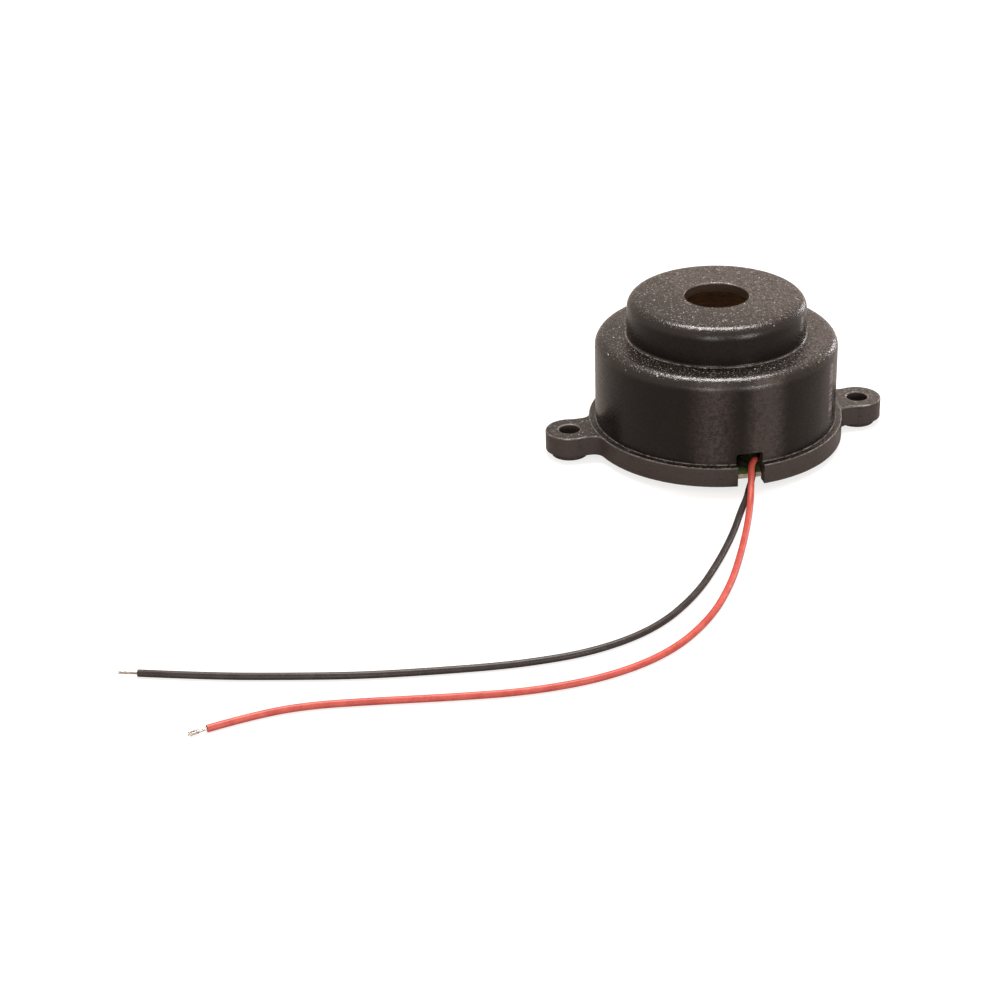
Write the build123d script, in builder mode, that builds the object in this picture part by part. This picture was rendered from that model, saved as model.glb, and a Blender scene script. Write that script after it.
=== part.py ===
# Piezo buzzer with its own drive circuit, two flying leads and two fixing lugs.
#
# Millimetres, +Z up. The origin is on the axis of the case, at the level of the
# two lug pads that the buzzer stands on. The lugs lie along X and the leads come
# out of a slot in the -Y side.
import os
from math import cos, radians, sin, tan

from build123d import *

os.makedirs("parts", exist_ok=True)

# Case: a stepped drum with a thin mounting ring at its foot
case_d = 30.0
tier_d = 22.1
ring_ledge = 0.85
ring_h = 2.5
shoulder_rise = 13.5
case_rise = 18.4
side_wall = 1.2
top_wall = 1.15
edge_round = 1.5
foot_round = 0.3
ring_edge_round = 0.2
port_d = 7.9
port_edge_round = 0.2

# Fixing lugs
lug_reach = 2.9
lug_eye_d = 6.0
lug_web_w = 5.7
lug_hole_d = 2.6
lug_root_round = 1.3
pad_d = 4.5
pad_drop = 0.8
hole_edge = 0.15

# Slot for the leads
slot_w = 3.3
slot_rise = 3.85
slot_corner_round = 0.3

# Circuit board, let into the foot of the case
board_wall = 0.55
board_t = 0.6
board_inset = 0.25
board_clearance = 0.1
board_hole_d = 0.8

# Diaphragm, hung from a seat under the shoulder
seat_depth = 1.0
seat_w = 1.5
adhesive_t = 0.3
diaphragm_clearance = 0.3
diaphragm_t = 0.25
ceramic_d = 20.0
ceramic_t = 0.2
electrode_margin = 0.7
electrode_t = 0.05
tongue_w = 3.2
tongue_l = 6.5
tongue_gap = 0.5

# Parts on the board: legs, and bodies that stand on its upper face
leg_d = 0.5
leg_bend = 0.5
resistor_d = 1.8
resistor_l = 3.4
resistor_pitch = 6.6
diode_d = 1.9
diode_l = 3.9
capacitor_d = 5.0
capacitor_t = 2.3
capacitor_pitch = 3.6
transistor_w = 4.6
transistor_h = 4.6
transistor_depth = 3.6
transistor_pitch = 1.27
transistor_standoff = 2.0
coil_d = 8.0
coil_h = 7.5
coil_waist_d = 3.6
coil_flange_t = 1.0
winding_d = 7.0
coil_pitch = 5.0

# Solder and adhesive
joint_d = 1.2
joint_h = 0.45
joint_tip_d = 0.6
mound_d = 2.0
mound_h = 0.95
bump_d = 1.6
bump_h = 0.7
bead_d = 2.4
bead_h = 0.2
bead_lap = 0.3
bead_angles = (40, 140, 220, 320)

# Wires
lead_d = 0.8
strand_d = 0.42
jumper_d = 0.6
end_bare_l = 2.2
lead_in_joint = 0.55
jumper_in_joint = 0.25
jumper_straight = 2.6

# Levels, from the lug pads up
ring_base = pad_drop
ring_top = ring_base + ring_h
shoulder_z = ring_base + shoulder_rise
case_top = ring_base + case_rise
board_bottom = ring_base + board_inset
board_top = board_bottom + board_t
shoulder_under = shoulder_z - side_wall
seat_z = shoulder_under - seat_depth
chamber_top = case_top - top_wall
diaphragm_top = seat_z - adhesive_t
diaphragm_bottom = diaphragm_top - diaphragm_t
ceramic_bottom = diaphragm_bottom - ceramic_t
electrode_bottom = ceramic_bottom - electrode_t

# Radii from the axis
case_r = case_d / 2
bore_r = case_r - side_wall
tier_r = tier_d / 2
chamber_r = tier_r - side_wall
seat_r = bore_r - seat_w
diaphragm_r = bore_r - diaphragm_clearance
rebate_r = case_r - board_wall
board_r = rebate_r - board_clearance
ceramic_r = ceramic_d / 2
electrode_r = ceramic_r - electrode_margin
ring_r = case_r + ring_ledge
lug_x = ring_r + lug_reach

# Places on the board: X, Y and the turn of each part, in degrees
resistor_places = {
    "resistor_1": (5.6, -1.6, 90),
    "resistor_2": (8.8, -1.6, 90),
    "resistor_3": (-0.4, 10.4, 0),
}
diode_place = (-0.4, -5.6, 0)
capacitor_place = (-8.6, -4.6, 60)
transistor_place = (4.8, 6.0, 0)
coil_place = (-5.4, 4.0, 20)

# Ends of the three jumpers: X and Y on the board, then on the diaphragm. The ground jumper
# meets the bare brass midway between the edge of the ceramic disc and the edge of the brass.
bare_brass_r = (ceramic_r + diaphragm_r) / 2
ground_ends = ((8.9, 6.6), (bare_brass_r * cos(radians(45)), bare_brass_r * sin(radians(45))))
drive_ends = ((1.4, 1.4), (0.0, 3.2))
feedback_ends = ((-10.6, -1.4), (-7.0, -0.7))

# Route of each lead, from its joint on the board to the end of its insulation. Y is measured
# from the outside of the case. Heights are from the board as far as the slot, then from the table.
red_inside = [
    (3.5, 5.1, 0.45),
    (2.75, 4.05, 0.45),
    (1.8, 2.7, 0.9),
    (1.12, 1.5, 1.45),
    (0.62, 0.45, 1.77),
]
red_outside = [
    (0.24, -0.45, 3.2),
    (-0.08, -1.2, 2.55),
    (-0.42, -2.05, 1.92),
    (-0.82, -3.3, 1.46),
    (-1.62, -5.65, 0.65),
    (-3.2, -9.77, 0.42),
    (-5.71, -15.69, 0.42),
    (-8.92, -22.51, 0.42),
    (-13.23, -29.33, 0.42),
    (-19.25, -35.14, 0.42),
    (-26.77, -38.35, 0.42),
    (-35.19, -39.15, 0.42),
    (-43.41, -38.25, 0.42),
    (-51.24, -37.05, 0.42),
    (-58.56, -36.15, 0.42),
    (-64.27, -36.85, 0.42),
    (-68.58, -38.05, 0.42),
]
black_inside = [
    (-2.4, 4.6, 0.45),
    (-1.7, 3.8, 0.55),
    (-0.7, 2.7, 0.85),
    (0.25, 1.4, 0.7),
    (0.62, 0.15, 0.55),
]
black_outside = [
    (0.42, -0.75, 1.35),
    (-0.2, -1.7, 0.72),
    (-1.3, -3.25, 0.42),
    (-2.8, -5.96, 0.42),
    (-5.41, -11.38, 0.42),
    (-9.02, -17.59, 0.42),
    (-13.53, -24.21, 0.42),
    (-19.45, -29.93, 0.42),
    (-26.87, -33.04, 0.42),
    (-35.29, -33.64, 0.42),
    (-43.92, -32.84, 0.42),
    (-52.14, -31.73, 0.42),
    (-59.96, -29.93, 0.42),
    (-67.38, -28.02, 0.42),
    (-74.8, -25.52, 0.42),
]


def lead_route(inside, outside):
    """One list of points for a lead, in the frame of the whole buzzer."""
    near = [(x, y - case_r, board_top + z) for x, y, z in inside]
    return near + [(x, y - case_r, z) for x, y, z in outside]


def bend_radii(route):
    """One radius for each corner of a route: as large as its two runs allow."""
    points = [Vector(*p) for p in route]
    radii = []
    for before, corner, after in zip(points, points[1:], points[2:]):
        arrive, leave = corner - before, after - corner
        shorter = min(arrive.length, leave.length)
        radii.append(0.45 * shorter / tan(radians(arrive.get_angle(leave)) / 2))
    return radii


def wire(route, diameter):
    """A round wire along a route, with an arc at each corner."""
    with BuildPart() as tube:
        with BuildLine() as path:
            FilletPolyline(*route, radius=bend_radii(route))
        with BuildSketch(Plane(origin=path.line @ 0, z_dir=path.line % 0)):
            Circle(diameter / 2)
        sweep()
    return tube.part


def turned(place, dx, dy=0.0):
    """A point on the board, dx and dy from the middle of a part in its own turn."""
    x, y, angle = place
    point = Vector(dx, dy).rotate(Axis.Z, angle)
    return (x + point.X, y + point.Y)


def standing(place, z=board_top):
    """The plane of a part that stands on the board."""
    x, y, angle = place
    return Plane(origin=(x, y, z)).rotated((0, 0, angle))


def dome(foot, d, h):
    """A round cap of a height over a flat foot; a negative height hangs down."""
    x, y, _ = foot
    with BuildPart() as cap:
        with BuildSketch(Plane(origin=foot, x_dir=(1, 0, 0), z_dir=(0, -1, 0))):
            with BuildLine():
                Line((0, 0), (d / 2, 0))
                TangentArc((0, h), (d / 2, 0), tangent=(1, 0))
                Line((0, h), (0, 0))
            make_face()
        revolve(axis=Axis((x, y, 0), (0, 0, 1)))
    return cap.part


def corner(section, r, z):
    """The corners of an upright section at a radius and a level, in its own X and Y."""
    return [v for v in section.vertices() if abs(v.X - r) < 0.01 and abs(v.Y - z) < 0.01]


def rim(circles, r, z):
    """The circular edges of a radius at a level."""
    return [e for e in circles if abs(e.radius - r) < 0.01 and abs(e.center().Z - z) < 0.01]


def lying_part(place, body_d, body_l, pitch):
    """A round body that lies on the board, on one bent wire through it."""
    axis_z = board_top + body_d / 2
    upright = standing(place, 0)
    with BuildPart() as part:
        end = upright.from_local_coords(Vector(-body_l / 2, 0, axis_z))
        with BuildSketch(Plane(origin=end, z_dir=upright.x_dir)):
            Circle(body_d / 2)
        extrude(amount=body_l)
        chamfer(part.edges().filter_by(GeomType.CIRCLE), body_d / 8)
        with BuildLine() as legs:
            bends = [
                (-pitch / 2, 0, board_bottom),
                (-pitch / 2, 0, axis_z),
                (pitch / 2, 0, axis_z),
                (pitch / 2, 0, board_bottom),
            ]
            FilletPolyline(*[upright.from_local_coords(Vector(*p)) for p in bends], radius=leg_bend)
        with BuildSketch(Plane(origin=legs.line @ 0, z_dir=legs.line % 0)):
            Circle(leg_d / 2)
        sweep(path=legs.line)
    return part.part


# Housing: one moulding, with its ring, lugs, seat and lead slot
eyes = [(-lug_x, 0), (lug_x, 0)]
with BuildPart() as housing:
    # Mounting ring and lugs, rounded where the lugs leave the ring
    with BuildSketch(Plane.XY.offset(ring_base)) as ring_outline:
        Circle(ring_r)
        Rectangle(2 * lug_x, lug_web_w)
        with Locations(*eyes):
            Circle(lug_eye_d / 2)
        roots = [
            v
            for v in ring_outline.vertices()
            if abs(v.X) < ring_r and abs(abs(v.Y) - lug_web_w / 2) < 0.01
        ]
        fillet(roots, lug_root_round)
    extrude(amount=ring_h)
    fillet(housing.faces().sort_by(Axis.Z)[-1].edges(), ring_edge_round)
    # Round pads under the eyes, that the buzzer stands on
    with BuildSketch():
        with Locations(*eyes):
            Circle(pad_d / 2)
    extrude(amount=ring_base)
    # Stepped drum
    with BuildSketch(Plane.XZ) as drum:
        with BuildLine():
            Polyline(
                (0, ring_base),
                (case_r, ring_base),
                (case_r, shoulder_z),
                (tier_r, shoulder_z),
                (tier_r, case_top),
                (0, case_top),
                close=True,
            )
        make_face()
        fillet(corner(drum, case_r, shoulder_z) + corner(drum, tier_r, case_top), edge_round)
        fillet(corner(drum, tier_r, shoulder_z), foot_round)
    revolve(axis=Axis.Z)
    # Rebate for the board, bore, seat for the diaphragm and chamber above it
    with BuildSketch(Plane.XZ):
        with BuildLine():
            Polyline(
                (0, ring_base),
                (rebate_r, ring_base),
                (rebate_r, board_top),
                (bore_r, board_top),
                (bore_r, seat_z),
                (seat_r, seat_z),
                (seat_r, shoulder_under),
                (chamber_r, shoulder_under),
                (chamber_r, chamber_top),
                (0, chamber_top),
                close=True,
            )
        make_face()
    revolve(axis=Axis.Z, mode=Mode.SUBTRACT)
    # Sound port
    with BuildSketch(Plane.XY.offset(chamber_top)):
        Circle(port_d / 2)
    extrude(amount=top_wall, mode=Mode.SUBTRACT)
    rims = housing.edges().filter_by(GeomType.CIRCLE)
    fillet(rim(rims, port_d / 2, case_top), port_edge_round)
    # Screw holes
    with BuildSketch():
        with Locations(*eyes):
            Circle(lug_hole_d / 2)
    extrude(amount=ring_top, mode=Mode.SUBTRACT)
    rims = housing.edges().filter_by(GeomType.CIRCLE)
    chamfer(rim(rims, lug_hole_d / 2, ring_top), hole_edge)
    # Slot for the leads, through the ring and up into the wall
    with BuildSketch(Plane.XZ.offset(bore_r - board_clearance)) as mouth:
        with Locations((0, (ring_base + slot_rise) / 2)):
            Rectangle(slot_w, ring_base + slot_rise)
        fillet(mouth.vertices().group_by(Axis.Y)[-1], slot_corner_round)
    extrude(amount=ring_r - bore_r + 2 * board_clearance, mode=Mode.SUBTRACT)
housing.part.label = "housing"
export_step(housing.part, "parts/housing.step")

# Adhesive ring that hangs the diaphragm from its seat
with BuildPart() as diaphragm_adhesive:
    with BuildSketch(Plane.XY.offset(diaphragm_top)):
        Circle(diaphragm_r)
        Circle(seat_r, mode=Mode.SUBTRACT)
    extrude(amount=adhesive_t)
diaphragm_adhesive.part.label = "diaphragm_adhesive"
export_step(diaphragm_adhesive.part, "parts/diaphragm_adhesive.step")

# Brass diaphragm
with BuildPart() as diaphragm:
    with BuildSketch(Plane.XY.offset(diaphragm_bottom)):
        Circle(diaphragm_r)
    extrude(amount=diaphragm_t)
diaphragm.part.label = "diaphragm"
export_step(diaphragm.part, "parts/diaphragm.step")

# Ceramic disc, under the diaphragm
with BuildPart() as ceramic_disc:
    with BuildSketch(Plane.XY.offset(ceramic_bottom)):
        Circle(ceramic_r)
    extrude(amount=ceramic_t)
ceramic_disc.part.label = "ceramic_disc"
export_step(ceramic_disc.part, "parts/ceramic_disc.step")

# Main electrode, cut away round the feedback tongue
tongue_x = -electrode_r + tongue_l / 2
with BuildPart() as main_electrode:
    with BuildSketch(Plane.XY.offset(electrode_bottom)):
        Circle(electrode_r)
        with Locations((tongue_x, 0)):
            Rectangle(tongue_l + 2 * tongue_gap, tongue_w + 2 * tongue_gap, mode=Mode.SUBTRACT)
    extrude(amount=electrode_t)
main_electrode.part.label = "main_electrode"
export_step(main_electrode.part, "parts/main_electrode.step")

# Feedback electrode: the tongue
with BuildPart() as feedback_electrode:
    with BuildSketch(Plane.XY.offset(electrode_bottom)):
        Circle(electrode_r)
        with Locations((tongue_x, 0)):
            Rectangle(tongue_l, tongue_w, mode=Mode.INTERSECT)
    extrude(amount=electrode_t)
feedback_electrode.part.label = "feedback_electrode"
export_step(feedback_electrode.part, "parts/feedback_electrode.step")

# Parts with two bent legs that lie on the board
legs = []
lying = {name: (place, resistor_d, resistor_l, resistor_pitch) for name, place in resistor_places.items()}
lying["diode"] = (diode_place, diode_d, diode_l, resistor_pitch)
for name, (place, body_d, body_l, pitch) in lying.items():
    part = lying_part(place, body_d, body_l, pitch)
    part.label = name
    export_step(part, f"parts/{name}.step")
    legs += [turned(place, -pitch / 2), turned(place, pitch / 2)]

# Ceramic capacitor, standing on two legs
capacitor_axis = board_top + transistor_standoff / 2 + capacitor_d / 2
with BuildPart() as capacitor:
    upright = standing(capacitor_place, capacitor_axis)
    face = Plane(origin=upright.origin, x_dir=upright.x_dir, z_dir=upright.y_dir)
    with BuildSketch(face.offset(-capacitor_t / 2)):
        Circle(capacitor_d / 2)
    extrude(amount=capacitor_t)
    chamfer(capacitor.edges().filter_by(GeomType.CIRCLE), capacitor_t / 4)
    with BuildSketch(standing(capacitor_place, board_bottom)):
        with Locations((-capacitor_pitch / 2, 0), (capacitor_pitch / 2, 0)):
            Circle(leg_d / 2)
    extrude(amount=capacitor_axis - board_bottom)
capacitor.part.label = "capacitor"
export_step(capacitor.part, "parts/capacitor.step")
legs += [turned(capacitor_place, side * capacitor_pitch / 2) for side in (-1, 1)]

# Transistor: a moulded body with one flat face, on three legs in a row
with BuildPart() as transistor:
    with BuildSketch(standing(transistor_place, board_top + transistor_standoff)):
        Circle(transistor_w / 2)
        with Locations((0, transistor_w / 2 - transistor_depth - transistor_w / 2)):
            Rectangle(transistor_w, transistor_w, mode=Mode.SUBTRACT)
    extrude(amount=transistor_h)
    with BuildSketch(standing(transistor_place, board_bottom)):
        with GridLocations(transistor_pitch, 0, 3, 1):
            Rectangle(leg_d, leg_d)
    extrude(amount=board_top + transistor_standoff - board_bottom)
transistor.part.label = "transistor"
export_step(transistor.part, "parts/transistor.step")
legs += [turned(transistor_place, side * transistor_pitch) for side in (-1, 0, 1)]

# Choke: a ferrite bobbin on two legs, and the wire wound on its waist
with BuildPart() as coil_core:
    with BuildSketch(standing(coil_place)):
        Circle(coil_waist_d / 2)
    extrude(amount=coil_h)
    for level in (board_top, board_top + coil_h - coil_flange_t):
        with BuildSketch(standing(coil_place, level)):
            Circle(coil_d / 2)
        extrude(amount=coil_flange_t)
    with BuildSketch(standing(coil_place, board_bottom)):
        with Locations((-coil_pitch / 2, 0), (coil_pitch / 2, 0)):
            Circle(leg_d / 2)
    extrude(amount=board_t)
coil_core.part.label = "coil_core"
export_step(coil_core.part, "parts/coil_core.step")
legs += [turned(coil_place, side * coil_pitch / 2) for side in (-1, 1)]

with BuildPart() as coil_winding:
    with BuildSketch(standing(coil_place, board_top + coil_flange_t)):
        Circle(winding_d / 2)
        Circle(coil_waist_d / 2, mode=Mode.SUBTRACT)
    extrude(amount=coil_h - 2 * coil_flange_t)
coil_winding.part.label = "coil_winding"
export_step(coil_winding.part, "parts/coil_winding.step")

# Circuit board, with a hole for each leg
with BuildPart() as circuit_board:
    with BuildSketch(Plane.XY.offset(board_bottom)):
        Circle(board_r)
        with Locations(*legs):
            Circle(board_hole_d / 2, mode=Mode.SUBTRACT)
    extrude(amount=board_t)
circuit_board.part.label = "circuit_board"
export_step(circuit_board.part, "parts/circuit_board.step")

# Solder joints under the board: a cone over each leg
with BuildPart() as board_joints:
    for x, y in legs:
        with BuildSketch(Plane(origin=(x, y, board_bottom), x_dir=(1, 0, 0), z_dir=(0, -1, 0))):
            with BuildLine():
                Line((0, 0), (joint_d / 2, 0))
                Line((joint_d / 2, 0), (joint_tip_d / 2, -joint_h))
                Line((joint_tip_d / 2, -joint_h), (0, -joint_h))
                Line((0, -joint_h), (0, 0))
            make_face()
        revolve(axis=Axis((x, y, 0), (0, 0, 1)))
board_joints.part.label = "board_joints"
export_step(board_joints.part, "parts/board_joints.step")

# Adhesive beads that fix the board in its rebate
with BuildPart() as board_adhesive:
    for angle in bead_angles:
        spot = Vector(rebate_r - bead_d / 2 + bead_lap, 0).rotate(Axis.Z, angle)
        add(dome((spot.X, spot.Y, board_bottom), bead_d, -bead_h))
    with BuildSketch():
        Circle(rebate_r)
    extrude(amount=board_bottom, mode=Mode.INTERSECT)
board_adhesive.part.label = "board_adhesive"
export_step(board_adhesive.part, "parts/board_adhesive.step")

# Leads: insulation along each route, and the bare tinned strands at its end
lead_starts = []
routes = {
    "lead_red": lead_route(red_inside, red_outside),
    "lead_black": lead_route(black_inside, black_outside),
}
for name, route in routes.items():
    lead = wire(route, lead_d)
    lead.label = name
    export_step(lead, f"parts/{name}.step")
    start, second = Vector(*route[0]), Vector(*route[1])
    lead_starts.append((start, (second - start).normalized()))
    last, before = Vector(*route[-1]), Vector(*route[-2])
    with BuildPart() as lead_end:
        with BuildSketch(Plane(origin=last, z_dir=last - before)):
            Circle(strand_d / 2)
        extrude(amount=end_bare_l)
    lead_end.part.label = f"{name}_end"
    export_step(lead_end.part, f"parts/{name}_end.step")

# Solder mounds that hold the leads on the upper face of the board
with BuildPart() as lead_joints:
    for start, along in lead_starts:
        middle = start - along * lead_in_joint
        add(dome((middle.X, middle.Y, board_top), mound_d, mound_h))
    for start, along in lead_starts:
        with BuildSketch(Plane(origin=start, z_dir=along)):
            Circle(lead_d / 2)
        extrude(amount=mound_d, mode=Mode.SUBTRACT)
lead_joints.part.label = "lead_joints"
export_step(lead_joints.part, "parts/lead_joints.step")

# Jumpers from the board to the diaphragm and its electrodes
jumpers = {
    "ground_jumper": (ground_ends, diaphragm_bottom),
    "drive_jumper": (drive_ends, electrode_bottom),
    "feedback_jumper": (feedback_ends, electrode_bottom),
}
with BuildPart() as board_bumps:
    for (x, y), _ in [ends for ends, _ in jumpers.values()]:
        add(dome((x, y, board_top), bump_d, bump_h))
        with BuildSketch(Plane.XY.offset(board_top + jumper_in_joint)):
            with Locations((x, y)):
                Circle(jumper_d / 2)
        extrude(amount=bump_h, mode=Mode.SUBTRACT)
board_bumps.part.label = "board_bumps"
export_step(board_bumps.part, "parts/board_bumps.step")

with BuildPart() as diaphragm_bumps:
    for (_, (x, y)), level in jumpers.values():
        add(dome((x, y, level), bump_d, -bump_h))
        with BuildSketch(Plane.XY.offset(level - jumper_in_joint)):
            with Locations((x, y)):
                Circle(jumper_d / 2)
        extrude(amount=-bump_h, mode=Mode.SUBTRACT)
diaphragm_bumps.part.label = "diaphragm_bumps"
export_step(diaphragm_bumps.part, "parts/diaphragm_bumps.step")

for name, (((x0, y0), (x1, y1)), level) in jumpers.items():
    foot, head = board_top + jumper_in_joint, level - jumper_in_joint
    route = [(x0, y0, foot), (x0, y0, foot + jumper_straight), (x1, y1, head - jumper_straight), (x1, y1, head)]
    jumper = wire(route, jumper_d)
    jumper.label = name
    export_step(jumper, f"parts/{name}.step")
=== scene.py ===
# Piezo buzzer on a white card: leads and their strands, finishes, light and camera.
# Metres, +Z up, origin on the axis of the case at the level of the lug pads.
from math import cos, pi, radians, sin

import bpy
from mathutils import Matrix, Vector


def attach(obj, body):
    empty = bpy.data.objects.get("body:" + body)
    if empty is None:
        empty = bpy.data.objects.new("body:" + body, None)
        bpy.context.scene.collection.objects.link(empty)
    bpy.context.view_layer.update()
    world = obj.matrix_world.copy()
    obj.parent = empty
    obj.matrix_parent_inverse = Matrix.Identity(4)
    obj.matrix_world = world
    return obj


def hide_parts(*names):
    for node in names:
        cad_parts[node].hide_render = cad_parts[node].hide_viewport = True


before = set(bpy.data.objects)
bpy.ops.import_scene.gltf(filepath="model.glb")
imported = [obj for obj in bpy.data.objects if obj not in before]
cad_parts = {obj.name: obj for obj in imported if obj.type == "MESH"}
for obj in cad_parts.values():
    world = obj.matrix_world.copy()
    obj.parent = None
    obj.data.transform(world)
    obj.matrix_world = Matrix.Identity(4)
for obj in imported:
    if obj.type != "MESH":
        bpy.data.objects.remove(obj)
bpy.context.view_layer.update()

MM = 0.001

# Sizes of the case that the finishes follow, in millimetres
case_r = 15.0
tier_r = 11.05
ring_r = 15.85
port_r = 3.95
ring_low = 0.8
ring_top = 3.3
shoulder_z = 14.3
case_top = 19.2
lug_x = 18.75
lug_eye_r = 3.0
lug_web_w = 5.7
lug_hole_r = 1.3
board_top = 1.65

# Leads, in millimetres
lead_d = 0.8
lying = lead_d / 2 + 0.02
strand_d = 0.115
strand_twist = radians(70)
bare_l = 2.15

# Bare strands: how close they lie, where along them they start to splay, and how fast
strand_packing = 0.98
splay_from = 0.3
splay_curve = 1.6

# Colours that finishes share
white = (1, 1, 1, 1)
tinned = (0.62, 0.6, 0.57, 1)
lint_colour = (0.7, 0.66, 0.62, 1)


def mm(*values):
    """A point written in millimetres, as metres."""
    return Vector(values) * MM


# Camera: height as an angle, turn to the left of the slot, distance, lens, roll and aim. The
# angle and the distance are from the foot, on the axis at the underside of the ring.
camera_height = radians(25.616)
camera_turn = radians(16.61)
camera_far = 287.106
camera_lens = 81.37
camera_roll = radians(1.885)
camera_aim = mm(-29.91, -11.11, 0.35)
camera_foot = ring_low

reach = camera_far * cos(camera_height)
camera_eye = mm(
    -reach * sin(camera_turn),
    -reach * cos(camera_turn),
    camera_far * sin(camera_height) + camera_foot,
)
camera_data = bpy.data.cameras.new("camera")
camera_data.lens = camera_lens
camera_data.sensor_width = 36
camera_data.clip_start = 0.01
camera = bpy.data.objects.new("camera", camera_data)
bpy.context.scene.collection.objects.link(camera)
towards = (camera_aim - camera_eye).to_track_quat("-Z", "Y").to_matrix().to_4x4()
camera.matrix_world = (
    Matrix.Translation(camera_eye) @ towards @ Matrix.Rotation(-camera_roll, 4, "Z")
)
bpy.context.scene.camera = camera


# Routes of the leads, in millimetres. Y is measured from the outside of the case.
# Heights are from the board inside the case, and from the table outside it.
red_inside = [
    (3.5, 5.1, 0.45),
    (2.75, 4.05, 0.45),
    (1.8, 2.7, 0.9),
    (1.12, 1.5, 1.45),
    (0.62, 0.45, 1.77),
]
red_outside = [
    (0.08, -0.45, 3.2),
    (-0.15, -1.2, 2.55),
    (-0.42, -2.05, 1.92),
    (-0.82, -3.3, 1.46),
    (-1.62, -5.65, 0.65),
    (-3.2, -9.77, lying),
    (-5.71, -15.69, lying),
    (-8.92, -22.51, lying),
    (-13.23, -29.33, lying),
    (-19.25, -35.14, lying),
    (-26.77, -38.35, lying),
    (-35.19, -39.15, lying),
    (-43.41, -38.25, lying),
    (-51.24, -37.05, lying),
    (-58.56, -36.15, lying),
    (-64.27, -36.85, lying),
    (-68.58, -38.05, lying),
]
black_inside = [
    (-2.4, 4.6, 0.45),
    (-1.7, 3.8, 0.55),
    (-0.7, 2.7, 0.85),
    (0.25, 1.4, 0.7),
    (0.5, 0.15, 0.55),
]
black_outside = [
    (0.05, -0.75, 1.35),
    (-0.6, -1.7, 0.72),
    (-1.3, -3.25, lying),
    (-2.8, -5.96, lying),
    (-5.41, -11.38, lying),
    (-9.02, -17.59, lying),
    (-13.53, -24.21, lying),
    (-19.45, -29.93, lying),
    (-26.87, -33.04, lying),
    (-35.29, -33.64, lying),
    (-43.92, -32.84, lying),
    (-52.14, -31.73, lying),
    (-59.96, -29.93, lying),
    (-67.38, -28.02, lying),
    (-74.8, -25.52, lying),
]


def lead_route(inside, outside):
    """One list of points for a lead, in metres, in the frame of the whole buzzer."""
    near = [mm(x, y - case_r, board_top + z) for x, y, z in inside]
    return near + [mm(x, y - case_r, z) for x, y, z in outside]


def wire_curve(name, runs, radius, rounds=6, steps=12):
    """A piece of round wire: one smooth strand over each run of points."""
    curve = bpy.data.curves.new(name, "CURVE")
    curve.dimensions = "3D"
    curve.bevel_depth = radius
    curve.bevel_resolution = rounds
    curve.resolution_u = steps
    curve.use_fill_caps = True
    for run in runs:
        spline = curve.splines.new("NURBS")
        spline.points.add(len(run) - 1)
        for point, place in zip(spline.points, run):
            point.co = (*place, 1)
        spline.order_u = 3
        spline.use_endpoint_u = True
    wire = bpy.data.objects.new(name, curve)
    bpy.context.scene.collection.objects.link(wire)
    return wire


def bare_strands(name, route, splay, cuts):
    """Seven tinned strands out of the end of a lead: one straight, six twisted round it.

    The splay is how far each outer strand stands off the bundle at its tip, and the cuts
    are how much shorter than the longest it is, both in millimetres.
    """
    end = route[-1]
    along = (route[-1] - route[-2]).normalized()
    side = along.cross(Vector((0, 0, 1))).normalized()
    up = side.cross(along)
    core = (-0.5, 0.4, 1.2, bare_l - 0.1)
    runs = [[end + along * s * MM for s in core]]
    for k, (off, cut) in enumerate(zip(splay, cuts)):
        tip = bare_l - cut
        run = []
        for share in (-0.25, 0.15, 0.4, 0.6, 0.8, 1.0):
            s = share * tip
            spread = strand_d * strand_packing + off * max(0, share - splay_from) ** splay_curve
            turn = k * pi / 3 + strand_twist * s
            place = end + along * s * MM + (side * cos(turn) + up * sin(turn)) * spread * MM
            place.z = max(place.z, strand_d * MM)
            run.append(place)
        runs.append(run)
    return wire_curve(name, runs, strand_d / 2 * MM, rounds=2, steps=6)


red_route = lead_route(red_inside, red_outside)
black_route = lead_route(black_inside, black_outside)
red_lead = wire_curve("red_lead", [red_route], lead_d / 2 * MM)
black_lead = wire_curve("black_lead", [black_route], lead_d / 2 * MM)
red_strands = bare_strands(
    "red_lead_strands", red_route, (0.3, 0.05, 0.25, 0.45, 0.1, 0.1), (0.5, 0.0, 0.3, 0.7, 0.1, 0.2)
)
black_strands = bare_strands(
    "black_lead_strands", black_route, (0.0, 0.05, 0.0, 0.1, 0.0, 0.05), (0.1, 0.0, 0.2, 0.1, 0.0, 0.2)
)


def socket_name(key):
    """The name that a keyword gets as a socket of a shared effect."""
    return key.replace("_", " ").capitalize()


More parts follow.
